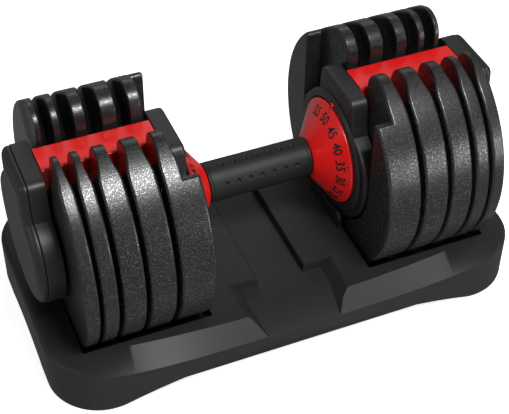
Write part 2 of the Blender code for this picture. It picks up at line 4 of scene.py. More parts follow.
import bmesh
import bpy
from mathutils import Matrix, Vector

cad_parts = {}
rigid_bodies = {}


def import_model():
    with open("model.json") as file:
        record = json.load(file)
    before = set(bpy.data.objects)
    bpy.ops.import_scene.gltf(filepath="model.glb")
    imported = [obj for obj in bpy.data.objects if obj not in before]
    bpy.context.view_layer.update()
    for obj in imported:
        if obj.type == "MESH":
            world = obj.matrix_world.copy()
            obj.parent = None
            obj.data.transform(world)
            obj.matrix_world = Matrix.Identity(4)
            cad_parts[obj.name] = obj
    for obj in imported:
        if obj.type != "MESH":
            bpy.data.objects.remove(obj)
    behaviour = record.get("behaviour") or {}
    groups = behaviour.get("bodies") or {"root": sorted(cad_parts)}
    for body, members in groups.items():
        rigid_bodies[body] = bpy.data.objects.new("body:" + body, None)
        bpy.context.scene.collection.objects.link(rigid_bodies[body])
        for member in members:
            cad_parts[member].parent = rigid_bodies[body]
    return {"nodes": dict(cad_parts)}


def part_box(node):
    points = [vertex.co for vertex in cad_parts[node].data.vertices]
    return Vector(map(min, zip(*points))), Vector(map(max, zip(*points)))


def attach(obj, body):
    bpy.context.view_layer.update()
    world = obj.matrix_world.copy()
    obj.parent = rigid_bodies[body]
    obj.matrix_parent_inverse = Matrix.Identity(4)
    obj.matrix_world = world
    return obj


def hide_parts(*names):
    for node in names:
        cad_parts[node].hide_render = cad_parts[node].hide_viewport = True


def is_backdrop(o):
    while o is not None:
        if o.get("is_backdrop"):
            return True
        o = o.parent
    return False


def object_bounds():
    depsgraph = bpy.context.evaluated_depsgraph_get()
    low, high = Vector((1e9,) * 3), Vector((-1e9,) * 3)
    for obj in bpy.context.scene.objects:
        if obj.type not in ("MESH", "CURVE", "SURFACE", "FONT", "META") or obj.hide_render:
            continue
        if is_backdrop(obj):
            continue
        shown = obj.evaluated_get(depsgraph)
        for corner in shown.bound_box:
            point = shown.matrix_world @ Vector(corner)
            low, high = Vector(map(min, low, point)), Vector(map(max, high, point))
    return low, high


for thing in list(bpy.data.objects):
    bpy.data.objects.remove(thing, do_unlink=True)
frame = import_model()
cadLow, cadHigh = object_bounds()
mm = 0.001
sides = {"right": 1, "left": -1}
print("frame loaded")


# shader maths: a socket that takes part in Python expressions
class Signal:
    def __init__(self, finish, socket):
        self.finish = finish
        self.socket = socket

    def maths(self, operation, *values):
        inputs = {i: value for i, value in enumerate(values)}
        return self.finish.node("Math", {"operation": operation}, inputs)

    def __add__(self, other):
        return self.maths("ADD", self, other)

    def __radd__(self, other):
        return self.maths("ADD", other, self)

    def __sub__(self, other):
        return self.maths("SUBTRACT", self, other)

    def __rsub__(self, other):
        return self.maths("SUBTRACT", other, self)

    def __mul__(self, other):
        return self.maths("MULTIPLY", self, other)

    def __rmul__(self, other):
        return self.maths("MULTIPLY", other, self)


class Finish:
    def __init__(self, name, tint, roughness, metallic=0.0, coat=0.0, coatRoughness=0.1):
        self.material = bpy.data.materials.new(name)
        self.material.use_nodes = True
        self.tree = self.material.node_tree
        self.shader = self.tree.nodes["Principled BSDF"]
        self.fix("Base Color", (*tint, 1.0))
        self.fix("Roughness", roughness)
        self.fix("Metallic", metallic)
        self.fix("Coat Weight", coat)
        self.fix("Coat Roughness", coatRoughness)
        self.material.diffuse_color = (*tint, 1.0)

    def fix(self, socketName, value):
        # a value that is the same all over the surface
        self.shader.inputs[socketName].default_value = value

    def node(self, kind, settings=None, inputs=None, output=0):
        made = self.tree.nodes.new("ShaderNode" + kind)
        for key, value in (settings or {}).items():
            if key == "stops":
                ramp = made.color_ramp
                while len(ramp.elements) < len(value):
                    ramp.elements.new(0.5)
                for element, (place, level) in zip(ramp.elements, value):
                    element.position = place
                    element.color = grey(level)
            else:
                setattr(made, key, value)
        for key, value in (inputs or {}).items():
            if isinstance(value, Signal):
                self.tree.links.new(value.socket, made.inputs[key])
            else:
                made.inputs[key].default_value = value
        return Signal(self, made.outputs[output])

    def grain(self, scale, detail=2.0, roughness=0.5, stretch=None):
        place = self.node("TexCoord", output="Object")
        if stretch:
            place = self.node("VectorMath", {"operation": "MULTIPLY"}, {0: place, 1: stretch})
        inputs = {"Vector": place, "Scale": scale, "Detail": detail, "Roughness": roughness}
        return self.node("TexNoise", {}, inputs, "Fac")

    def ramp(self, signal, *stops):
        return self.node("ValToRGB", {"stops": stops}, {"Fac": signal})

    def mixed(self, amount, first, second):
        # the colour sockets of a Mix node are numbers 6 and 7
        inputs = {0: amount, 6: first, 7: second}
        return self.node("Mix", {"data_type": "RGBA"}, inputs, 2)

    def drive(self, socketName, signal):
        self.tree.links.new(signal.socket, self.shader.inputs[socketName])

    def bump(self, height, strength, distance):
        inputs = {"Height": height, "Strength": strength, "Distance": distance}
        self.drive("Normal", self.node("Bump", None, inputs))


def grey(level):
    return (level, level, level, 1.0)


finishes = {}
cool = 1.04  # a touch more blue in the black plastics

# the mottled finishes: two close tones in a soft cloud, and a fine grain
mottledLooks = {
    "tray": {
        "name": "trayPlastic", "tint": (0.02, 0.02, 0.021), "roughness": 0.5, "specular": 0.35,
        "dark": (0.011, 0.011, 0.011 * cool), "light": (0.017, 0.017, 0.017 * cool),
        "cloudScale": 24.0, "cloudDetail": 3.0, "spread": 0.1,
        "grainScale": 2600.0, "grainStrength": 0.12, "grainDepth": 0.00004,
    },
    "housing": {
        "name": "housingPlastic", "tint": (0.017, 0.017, 0.018), "roughness": 0.46,
        "dark": (0.009, 0.009, 0.009 * cool), "light": (0.014, 0.014, 0.014 * cool),
        "cloudScale": 40.0, "cloudDetail": 3.0, "spread": 0.12,
        "grainScale": 3200.0, "grainStrength": 0.1, "grainDepth": 0.00003,
    },
    "bezel": {
        "name": "bezelPlastic", "tint": (0.012, 0.012, 0.013), "roughness": 0.42,
        "dark": (0.01, 0.01, 0.01), "light": (0.016, 0.016, 0.016),
        "cloudScale": 70.0, "cloudDetail": 2.0, "spread": 0.1,
        "grainScale": 3000.0, "grainStrength": 0.08, "grainDepth": 0.00003,
    },
    "red": {
        "name": "redPlastic", "tint": (0.6, 0.006, 0.006), "roughness": 0.3,
        "coat": 0.25, "coatRoughness": 0.22,
        "dark": (0.56, 0.005, 0.005), "light": (0.64, 0.008, 0.007),
        "cloudScale": 60.0, "cloudDetail": 2.0, "spread": 0.06,
        "grainScale": 900.0, "grainStrength": 0.06, "grainDepth": 0.00003,
    },
    "grip": {
        "name": "gripRubber", "tint": (0.012, 0.012, 0.013), "roughness": 0.52, "specular": 0.3,
        "dark": (0.006, 0.006, 0.006), "light": (0.01, 0.01, 0.01),
        "cloudScale": 50.0, "cloudDetail": 3.0, "spread": 0.12,
        "grainScale": 2400.0, "grainStrength": 0.18, "grainDepth": 0.00004,
    },
}
nylonLook = {
    "cloudScale": 45.0, "cloudDetail": 3.0, "spread": 0.14,
    "grainScale": 1800.0, "grainStrength": 0.12, "grainDepth": 0.00004,
}


def makeMottled(key, look):
    made = Finish(
        look["name"], look["tint"], look["roughness"], 0.0,
        look.get("coat", 0.0), look.get("coatRoughness", 0.1),
    )
    if "specular" in look:
        made.fix("Specular IOR Level", look["specular"])
    cloud = made.grain(look["cloudScale"], look["cloudDetail"])
    made.drive("Base Color", made.mixed(cloud, (*look["dark"], 1.0), (*look["light"], 1.0)))
    made.drive("Roughness", look["roughness"] + (cloud - 0.5) * look["spread"])
    made.bump(made.grain(look["grainScale"], 1.0), look["grainStrength"], look["grainDepth"])
    finishes[key] = made


def makeNylon(key, name, dark, light, roughness):
    own = {"name": name, "tint": dark, "dark": dark, "light": light, "roughness": roughness}
    makeMottled(key, {**nylonLook, **own})


def makePlateCoat():
    # hammered powder coat with fine bright specks
    look = {
        "tint": (0.014, 0.014, 0.015), "dark": 0.009, "light": 0.016, "cloudScale": 30.0,
        "dimpleScale": 1800.0, "dimpleDetail": 2.5, "dimpleSoftness": 0.6,
        "speckScale": 1250.0, "speckDetail": 1.4, "speckFrom": 0.57, "speckFull": 0.67,
        "speckTone": 0.24, "speckMix": 0.6, "roughness": 0.32, "dimpleSpread": 0.14,
        "speckPolish": 0.1, "metallic": 0.25, "speckMetallic": 0.45,
        "bumpStrength": 0.5, "bumpDepth": 0.0002,
    }
    made = Finish("plateCoat", look["tint"], look["roughness"], 0.2)
    dimples = made.grain(look["dimpleScale"], look["dimpleDetail"], look["dimpleSoftness"])
    specks = made.grain(look["speckScale"], look["speckDetail"], 0.5)
    cloud = made.grain(look["cloudScale"], 3.0)
    tone = made.mixed(cloud, grey(look["dark"]), grey(look["light"]))
    glint = made.ramp(specks, (look["speckFrom"], 0.0), (look["speckFull"], 1.0))
    made.drive("Base Color", made.mixed(glint * look["speckMix"], tone, grey(look["speckTone"])))
    hammered = look["roughness"] + (dimples - 0.5) * look["dimpleSpread"]
    made.drive("Roughness", hammered - glint * look["speckPolish"])
    made.drive("Metallic", look["metallic"] + glint * look["speckMetallic"])
    made.bump(specks, look["bumpStrength"], look["bumpDepth"])
    finishes["plate"] = made


def makeSteel():
    # turned steel, with streaks drawn out along X
    look = {
        "tint": (0.5, 0.5, 0.52), "roughness": 0.28, "streakScale": 400.0,
        "stretch": (0.03, 1.0, 1.0), "polished": 0.22, "spread": 0.16,
        "dark": 0.42, "light": 0.55, "bumpStrength": 0.1, "bumpDepth": 0.00003,
    }
    made = Finish("brushedSteel", look["tint"], look["roughness"], 1.0)
    streaks = made.grain(look["streakScale"], 2.0, 0.5, look["stretch"])
    made.drive("Roughness", look["polished"] + streaks * look["spread"])
    made.drive("Base Color", made.mixed(streaks, grey(look["dark"]), grey(look["light"])))
    made.bump(streaks, look["bumpStrength"], look["bumpDepth"])
    finishes["steel"] = made


for key, look in mottledLooks.items():
    makeMottled(key, look)
makePlateCoat()
makeSteel()
makeNylon("disc", "discNylon", (0.03, 0.03, 0.033), (0.05, 0.05, 0.055), 0.45)
makeNylon("bush", "bushAcetal", (0.55, 0.53, 0.47), (0.63, 0.61, 0.55), 0.4)
makeNylon("foot", "footRubber", (0.012, 0.012, 0.012), (0.022, 0.022, 0.022), 0.75)
makeNylon("ink", "dialInk", (0.008, 0.008, 0.008), (0.014, 0.014, 0.014), 0.35)
print("finishes ready")

# mesh helpers, all in millimetres
def facesOut(work):
    bmesh.ops.recalc_face_normals(work, faces=work.faces)
    if work.calc_volume(signed=True) < 0:
        bmesh.ops.reverse_faces(work, faces=work.faces)


def lofted(work, loops, capped=True):
    rows = [[work.verts.new(Vector(point) * mm) for point in loop] for loop in loops]
    count = len(rows[0])
    for lower, upper in zip(rows, rows[1:]):
        for i in range(count):
            j = (i + 1) % count
            work.faces.new((lower[i], lower[j], upper[j], upper[i]))
    if capped:
        work.faces.new(list(reversed(rows[0])))
        work.faces.new(rows[-1])
    return rows


def prism(work, outline, x0, x1):
    lofted(work, [[(x, y, z) for y, z in outline] for x in (x0, x1)])


def turned(work, profile, steps, axisZ):
    # profile of (x, radius) points carried round the handle's axis
    rows = []
    for i in range(steps):
        angle = 2 * math.pi * i / steps
        row = []
        for x, radius in profile:
            point = (x, radius * math.sin(angle), axisZ + radius * math.cos(angle))
            row.append(work.verts.new(Vector(point) * mm))
        rows.append(row)
    count = len(profile)
    for i in range(steps):
        here, after = rows[i], rows[(i + 1) % steps]
        for j in range(count):
            k = (j + 1) % count
            work.faces.new((here[j], here[k], after[k], after[j]))


def blendSharp(work, limit):
    # smooth shading, broken only at edges sharper than the limit
    for face in work.faces:
        face.smooth = True
    for edge in work.edges:
        flat = len(edge.link_faces) == 2 and edge.calc_face_angle(0.0) < math.radians(limit)
        edge.smooth = flat


def roundEdges(work, width, segments, limit, wanted):
    picked = []
    for edge in work.edges:
        if len(edge.link_faces) != 2 or edge.calc_face_angle(0.0) < math.radians(limit):
            continue
        if wanted(edge):
            picked.append(edge)
    bmesh.ops.bevel(
        work, geom=picked, offset=width * mm, segments=segments, profile=0.5,
        affect="EDGES", clamp_overlap=True,
    )


def mirrorX(work):
    for point in work.verts:
        point.co.x = -point.co.x


def forSide(work, side):
    # everything is built on the right, and the left is its mirror image
    if side < 0:
        mirrorX(work)
    return work


def piece(name, work, finish, body, replaced, sharp, weighted=True, outward=True):
    bmesh.ops.remove_doubles(work, verts=work.verts, dist=0.000001)
    if outward:
        facesOut(work)
    blendSharp(work, sharp)
    mesh = bpy.data.meshes.new(name)
    work.to_mesh(mesh)
    work.free()
    made = bpy.data.objects.new(name, mesh)
    bpy.context.scene.collection.objects.link(made)
    made.data.materials.append(finishes[finish].material)
    if weighted:
        modifier = made.modifiers.new("evenShade", "WEIGHTED_NORMAL")
        modifier.keep_sharp = True
        modifier.weight = 60
    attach(made, body)
    for node in replaced:
        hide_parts(node)
    return made


def helper(work):
    facesOut(work)
    mesh = bpy.data.meshes.new("cutter")
    work.to_mesh(mesh)
    work.free()
    made = bpy.data.objects.new("cutter", mesh)
    bpy.context.scene.collection.objects.link(made)
    return made


def carve(work, tools, operation="DIFFERENCE"):
    # exact Booleans on the working mesh, which comes back as a new working mesh
    body = helper(work)
    for tool in tools:
        cutter = helper(tool)
        modifier = body.modifiers.new("carve", "BOOLEAN")
        modifier.operation = operation
        modifier.solver = "EXACT"
        modifier.object = cutter
        graph = bpy.context.evaluated_depsgraph_get()
        made = bpy.data.meshes.new_from_object(body.evaluated_get(graph))
        body.modifiers.clear()
        body.data = made
        bpy.data.objects.remove(cutter, do_unlink=True)
    result = bmesh.new()
    result.from_mesh(body.data)
    bpy.data.objects.remove(body, do_unlink=True)
    bmesh.ops.remove_doubles(result, verts=result.verts, dist=0.00001)
    bmesh.ops.dissolve_limit(result, angle_limit=0.001, verts=result.verts, edges=result.edges)
    return result


def arc(radius, start, stop, steps, centre):
    # angles in degrees from straight up towards +Y
    points = []
    for i in range(steps + 1):
        angle = math.radians(start + (stop - start) * i / steps)
        across, up = radius * math.sin(angle), radius * math.cos(angle)
        points.append((centre[0] + across, centre[1] + up))
    return points


def flipped(points):
    return [(-y, z) for y, z in reversed(points)]


def neighbours(points):
    return zip(points[-1:] + points[:-1], points, points[1:] + points[:1])


def curved(start, bend, stop, t):
    # point on the curve that leaves start and meets stop, both aimed at the bend
    return tuple(start * (1 - t) ** 2 + bend * 2 * t * (1 - t) + stop * t * t)


def offsetLoop(points, distance):
    # moves a closed outline inwards by the distance
    area = sum(a[0] * b[1] - b[0] * a[1] for a, b in zip(points, points[1:] + points[:1]))
    turn = 1.0 if area > 0 else -1.0
    moved = []
    for before, here, after in neighbours(points):
        first = Vector((here[0] - before[0], here[1] - before[1])).normalized()
        second = Vector((after[0] - here[0], after[1] - here[1])).normalized()
        normal = Vector((-(first.y + second.y), first.x + second.x)) * turn
        normal.normalize()
        spread = max(0.5, math.sqrt(max(0.0, (1 + first.dot(second)) / 2)))
        step = distance / spread
        moved.append((here[0] + normal.x * step, here[1] + normal.y * step))
    return moved


def filleted(corners, steps=6):
    # closed outline from (a, b, radius) corners
    points = []
    for before, here, after in neighbours(corners):
        point = Vector(here[:2])
        into = Vector(before[:2]) - point
        out = Vector(after[:2]) - point
        radius = here[2]
        angle = into.angle(out)
        if radius <= 0 or abs(math.pi - angle) < 0.02:
            points.append(tuple(point))
            continue
        reach = min(radius / math.tan(angle / 2), into.length * 0.49, out.length * 0.49)
        start = point + into.normalized() * reach
        stop = point + out.normalized() * reach
        points += [curved(start, point, stop, i / steps) for i in range(steps + 1)]
    return points


def sections(work, outline, places):
    # the outline carried along X through (x, inset) places
    lofted(work, [[(x, y, z) for y, z in offsetLoop(outline, inset)] for x, inset in places])


def roundedSlab(work, outline, x0, x1, radius0, radius1, steps=5):
    # slab along X with rounded edges at both faces
    sign = 1 if x1 > x0 else -1
    places = []
    for i in range(steps + 1 if radius0 else 1):
        angle = math.pi / 2 * i / steps
        x = x0 + sign * radius0 * (1 - math.cos(angle))
        places.append((x, radius0 * (1 - math.sin(angle))))
    for i in range(steps + 1 if radius1 else 1):
        angle = math.pi / 2 * i / steps
        x = x1 - sign * radius1 * (1 - math.sin(angle))
        places.append((x, radius1 * (1 - math.cos(angle))))
    sections(work, outline, places)


def span(node):
    low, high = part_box(node)
    return low / mm, high / mm


plateLow, plateHigh = span("plate_right_5")
plateRadius = (plateHigh.y - plateLow.y) / 2
axisZ = plateLow.z + plateRadius


# plates
plateShape = {
    "slotHalf": 17.5, "pocketRadius": 25.5, "earCorner": 17.5, "taperStart": 20.5, "taperRun": 31.0,
    "ears": [10.0, 12.5, 9.5, 6.0, 4.6], "rimRound": 2.2, "stepRound": 3.2, "flare": 2.0,
    "rebateFace": 85.6, "rebateHalf": 62.0, "shoulder": 73.0, "stepSink": 1.0, "past": 15.0,
    "taperCuts": 10,
}
earCentreY = plateShape["slotHalf"] + plateShape["earCorner"]
earReach = plateRadius - plateShape["earCorner"]
earRise = math.sqrt(earReach**2 - earCentreY**2)


def plateOutline():
    shape = plateShape
    centre = (0.0, axisZ)
    earAngle = math.degrees(math.atan2(earCentreY, earRise))
    corner = arc(shape["earCorner"], -90.0, earAngle, 16, (earCentreY, axisZ + earRise))
    rim = arc(plateRadius, earAngle, 180.0, 84, centre)[1:]
    pocketAngle = math.degrees(math.asin(shape["slotHalf"] / shape["pocketRadius"]))
    pocket = arc(shape["pocketRadius"], 180.0, pocketAngle, 22, centre)
    half = pocket + corner + rim
    return half + flipped(half)[1:-1]


def rebateOutline():
    # the sunk middle of the thick inboard plate, with soft corners where it leaves the rim
    half, step, soft = plateShape["rebateHalf"], plateShape["shoulder"], plateShape["stepRound"]
    inner = plateRadius - soft
    frontY = math.sqrt(inner**2 - (step - soft) ** 2)
    backRise = math.sqrt(inner**2 - (half + soft) ** 2)
    frontAngle = math.degrees(math.asin(frontY / inner))
    backAngle = math.degrees(math.asin((half + soft) / inner))
    outside = plateRadius + plateShape["past"]
    points = arc(half, 90.0, 270.0, 60, (0.0, axisZ))
    points += arc(soft, 90.0, 0.0, 6, (-half - soft, axisZ + step - soft))
    points += arc(soft, 0.0, -frontAngle, 6, (-frontY, axisZ + step - soft))[1:]
    points += [(-outside, axisZ + step - soft * 3), (-outside, axisZ + outside)]
    points += [(outside, axisZ + outside), (outside, axisZ + backRise - soft * 2)]
    points += arc(soft, backAngle, -90.0, 8, (half + soft, axisZ + backRise))
    return points


def taperEars(work, low, high, ear):
    # thins towards the slot, along lines of equal height less distance from the middle
    run = plateShape["taperRun"]
    start = axisZ + plateShape["taperStart"]
    middle = (low + high) / 2
    thickness = high - low
    cuts = plateShape["taperCuts"]
    for i in range(cuts):
        share = i / (cuts - 1)
        for lean in (-1, 1):
            bmesh.ops.bisect_plane(
                work, geom=work.verts[:] + work.edges[:] + work.faces[:], dist=0.0000001,
                plane_co=(0, 0, (start + run * share) * mm),
                plane_no=(0, lean * math.sqrt(0.5), math.sqrt(0.5)),
            )
    for point in work.verts:
        share = min(1.0, max(0.0, ((point.co.z - abs(point.co.y)) / mm - start) / run))
        keep = 1 - share * share * (3 - 2 * share)
        scale = ear / thickness + (1 - ear / thickness) * keep
        point.co.x = (middle + (point.co.x / mm - middle) * scale) * mm
        point.co.z = min(point.co.z, cadHigh.z)


def buildPlate(number):
    shape = plateShape
    low, high = span("plate_right_" + str(number))
    low, high = low.x, high.x
    face = shape["rebateFace"] if number == 5 else low
    soft = shape["rimRound"]
    work = bmesh.new()
    roundedSlab(work, plateOutline(), face, high, soft, soft)
    taperEars(work, face, high, shape["ears"][5 - number])
    if number < 5:
        return work
    # the thick rim below and in front, with the sunk middle cut from it
    block = bmesh.new()
    blockEnd = high - soft - shape["stepSink"]
    roundedSlab(block, offsetLoop(plateOutline(), 0.02), low, blockEnd, soft + 0.6, 0.0)
    flare = shape["flare"]
    places = [(low - 1.0, -flare)]
    for i in range(6):
        angle = math.pi / 2 * i / 5
        places.append((low + flare * (1 - math.cos(angle)), -flare * (1 - math.sin(angle))))
    places.append((high + 1.0, 0.0))
    cutter = bmesh.new()
    sections(cutter, rebateOutline(), places)
    return carve(work, [carve(block, [cutter])], "UNION")


for number in range(1, 6):
    for sideName, side in sides.items():
        ending = "%s_%d" % (sideName, number)
        piece("plate%s%d" % (sideName.capitalize(), number), forSide(buildPlate(number), side),
              "plate", "weight_" + ending, ["plate_" + ending], 30.0)
print("plates ready")


# housings and end covers
housingShape = {
    "bowl": 58.0, "neckHalf": 29.0, "neckRise": 68.6, "corner": 9.0,
    "innerBowl": 60.0, "frontRound": 3.0, "backRound": 1.0, "bore": 14.4, "edgeRound": 0.8,
    # the neck's flare: (outwards from the neck, height over the axis)
    "waist": (1.6, 45.0), "leave": (4.4, 36.0), "bulge": (21.0, 29.0), "waistRound": 10.0,
    "bowlMeets": 0.26, "pinWell": 3.3,
}
coverDome = {"straight": 1.2, "seam": 0.4, "reach": 9.5, "steps": 12}


def keyhole(bowl):
    # flat-topped neck, cheeks that curve outwards, then a round bowl
    shape = housingShape
    half, top = shape["neckHalf"], axisZ + shape["neckRise"]
    waist, leave, bulge = [
        (half + out, axisZ + up) for out, up in (shape["waist"], shape["leave"], shape["bulge"])
    ]
    cheek = math.degrees(math.acos(shape["bowlMeets"]))
    rim = arc(bowl, cheek, 180.0, 60, (0.0, axisZ))
    neck = filleted([
        (0.0, top, 0),
        (half, top, shape["corner"]),
        (*waist, shape["waistRound"]),
        (*leave, 0),
        (*bulge, 0),
        (0.0, axisZ, 0),
    ], 7)[1:-2]
    begin, bend, stop = Vector(leave), Vector(bulge), Vector(rim[0])
    cheeks = [curved(begin, bend, stop, i / 10) for i in range(1, 10)]
    right = neck + cheeks + rim
    return right + flipped(right)[1:]


def toolPrism(outline, x0, x1):
    tool = bmesh.new()
    prism(tool, outline, x0, x1)
    return tool


def boreAlong(radius, x0, x1, steps=64):
    loop = []
    for i in range(steps):
        angle = 2 * math.pi * i / steps
        loop.append((radius * math.sin(angle), axisZ + radius * math.cos(angle)))
    return toolPrism(loop, x0, x1)


def rodZ(work, radius, x, y, z0, z1, steps, chamfer):
    # upright rod with chamfered ends
    angles = [2 * math.pi * i / steps for i in range(steps)]
    small = radius - chamfer
    loops = []
    for z, r in ((z0, small), (z0 + chamfer, radius), (z1 - chamfer, radius), (z1, small)):
        loops.append([(x + r * math.cos(a), y + r * math.sin(a), z) for a in angles])
    lofted(work, loops)


def buildInnerHousing():
    shape = housingShape
    low, high = span("inner_housing_right")
    work = bmesh.new()
    outline = keyhole(shape["innerBowl"])
    roundedSlab(work, outline, low.x, high.x, shape["frontRound"], shape["backRound"], 5)
    return carve(work, [boreAlong(shape["bore"], low.x - 5, high.x + 5)])


def buildOuterHousing():
    shape = housingShape
    low, high = span("outer_housing_right")
    work = bmesh.new()
    outline = keyhole(shape["bowl"])
    roundedSlab(work, outline, low.x, high.x, shape["edgeRound"], shape["edgeRound"], 3)
    pinLow, pinHigh = span("lock_pin_right")
    middle = (pinLow.x + pinHigh.x) / 2
    well = bmesh.new()
    rodZ(well, shape["pinWell"], middle, 0.0, pinLow.z - 20, pinHigh.z + 6.0, 32, 0.0)
    return carve(work, [boreAlong(shape["bore"], low.x - 5, high.x + 5), well])


def buildEndCover():
    low, high = span("end_cover_right")
    straight, seam = coverDome["straight"], coverDome["seam"]
    rise = high.x - low.x - straight
    places = [(low.x, 0.9), (low.x + 0.15, 0.6), (low.x + 0.5, seam)]
    for i in range(coverDome["steps"] + 1):
        angle = math.pi / 2 * i / coverDome["steps"]
        x = low.x + straight + rise * math.sin(angle)
        places.append((x, seam + coverDome["reach"] * (1 - math.cos(angle))))
    work = bmesh.new()
    sections(work, keyhole(housingShape["bowl"]), places)
    return work


for sideName, side in sides.items():
    label = sideName.capitalize()
    for node, maker, base in (
        ("inner_housing_", buildInnerHousing, "innerHousing"),
        ("outer_housing_", buildOuterHousing, "outerHousing"),
        ("end_cover_", buildEndCover, "endCover"),
    ):
        piece(base + label, forSide(maker(), side), "housing", "dumbbell",
              [node + sideName], 32.0)
print("housings ready")

# bezel rings and their pointers
bezelShape = {"inner": 46.3, "outer": 51.5, "foot": 53.5, "edge": 0.8, "steps": 128}
pointerShape = {"lead": 3.5, "foot": 46.5,
                "corners": [(-0.5, 0.6, 0.2), (0.5, 0.6, 0.2), (1.8, 4.4, 0.3), (-1.8, 4.4, 0.3)]}


def buildBezel():
    shape = bezelShape
    low, high = span("dial_bezel_right")
    near, far, edge = low.x, high.x, shape["edge"]
    profile = [
        (far, shape["inner"]),
        (near + edge, shape["inner"]),
        (near + edge * 0.3, shape["inner"] + edge * 0.3),
        (near, shape["inner"] + edge),
        (near, shape["outer"] - edge),
        (near + edge * 0.3, shape["outer"] - edge * 0.25),
        (near + edge, shape["outer"] + edge * 0.5),
        (far - 0.3, shape["foot"] - 0.2),
        (far, shape["foot"]),
    ]
    work = bmesh.new()
    turned(work, profile, shape["steps"], axisZ)
    return work


def buildPointer():
    low, high = span("index_pointer_right")
    lead = math.radians(pointerShape["lead"])
    corners = []
    for halfWidth, rise, soft in pointerShape["corners"]:
        radius = pointerShape["foot"] + rise
        corners.append((halfWidth * math.cos(lead) - radius * math.sin(lead),
                        axisZ + radius * math.cos(lead) + halfWidth * math.sin(lead), soft))
    work = bmesh.new()
    roundedSlab(work, filleted(corners, 4), low.x, high.x, 0.3, 0.0, 3)
    return work


for sideName, side in sides.items():
    label = sideName.capitalize()
    piece("dialBezel" + label, forSide(buildBezel(), side), "bezel", "dumbbell",
          ["dial_bezel_" + sideName], 40.0)
    piece("indexPointer" + label, forSide(buildPointer(), side), "red", "dumbbell",
          ["index_pointer_" + sideName], 40.0)
print("bezels ready")

# red top covers over the bridges
coverShape = {
    "wall": 2.6, "topHalf": 13.8, "baseHalf": 16.6, "topRound": 2.24, "innerRound": 0.8,
    "edgeRound": 0.4,
}


def buildTopCover():
    shape = coverShape
    low, high = span("top_cover_right")
    edge, wall, top = shape["edgeRound"], shape["wall"], high.z
    base, crown = shape["baseHalf"], shape["topHalf"]
    under, inside = base - wall, crown - wall - 0.3
    section = [
        (base, low.z, edge), (crown, top, shape["topRound"]),
        (-crown, top, shape["topRound"]), (-base, low.z, edge),
        (-under, low.z, edge), (-inside, top - wall, shape["innerRound"]),
        (inside, top - wall, shape["innerRound"]), (under, low.z, edge),
    ]
    work = bmesh.new()
    roundedSlab(work, filleted(section, 5), low.x, high.x, edge, edge, 2)
    return work


for sideName, side in sides.items():
    piece("topCover" + sideName.capitalize(), forSide(buildTopCover(), side), "red", "dumbbell",
          ["top_cover_" + sideName], 30.0)
print("top covers ready")

# dials with their numbers
dialShape = {
    "neck": 16.9, "brim": 45.3, "bore": 9.4, "steps": 144,
    "numbers": ["5", "10", "15", "20", "25", "30", "35", "40", "45", "50", "52.5"],
    "atTop": 9, "step": 22.5, "lead": 3.5, "numberRadius": 37.3, "numberHeight": 7.4,
    "widest": 10.4, "weight": 0.022, "proud": 0.12, "rooted": -0.25,
    "dotRadius": 42.6, "dotSize": 0.6, "dotSteps": 14,
}
dialLow, dialHigh = span("dial_right")
coneStart = (dialLow.x + 0.9, dialShape["neck"] + 1.2)
coneEnd = (dialHigh.x - 2.6, dialShape["brim"] - 0.7)


def buildDial():
    shape = dialShape
    near, far = dialLow.x, dialHigh.x
    neck, brim = shape["neck"], shape["brim"]
    halfway = (coneStart[0] + (coneEnd[0] - coneStart[0]) * 0.5, (coneStart[1] + coneEnd[1]) / 2)
    profile = [
        (far, shape["bore"]), (near, shape["bore"]), (near, neck - 0.8),
        (near + 0.12, neck - 0.35), (near + 0.5, neck), (near + 0.9, neck + 0.7),
        coneStart, halfway, coneEnd,
        (far - 2.15, brim - 0.25), (far - 1.7, brim), (far - 0.4, brim), (far, brim - 0.4),
    ]
    work = bmesh.new()
    turned(work, profile, shape["steps"], axisZ)
    return work


def conePoint(radius, angle, proud, side):
    # place on the cone at a radius and an angle from the top towards the front, in degrees
    slope = (coneEnd[0] - coneStart[0]) / (coneEnd[1] - coneStart[1])
    x = coneStart[0] + (radius - coneStart[1]) * slope
    lean = math.hypot(1.0, slope)
    x -= proud / lean
    radius = radius + proud * slope / lean
    turn = math.radians(angle)
    return Vector((side * x, -radius * math.sin(turn), axisZ + radius * math.cos(turn)))


def numberMesh(text):
    curve = bpy.data.curves.new("number", "FONT")
    curve.body = text
    curve.size = 1.0
    curve.align_x = "CENTER"
    curve.align_y = "CENTER"
    curve.resolution_u = 4
    curve.offset = dialShape["weight"]
    holder = bpy.data.objects.new("number", curve)
    bpy.context.scene.collection.objects.link(holder)
    graph = bpy.context.evaluated_depsgraph_get()
    mesh = bpy.data.meshes.new_from_object(holder.evaluated_get(graph))
    bpy.data.objects.remove(holder, do_unlink=True)
    work = bmesh.new()
    work.from_mesh(mesh)
    bpy.data.meshes.remove(mesh)
    return work


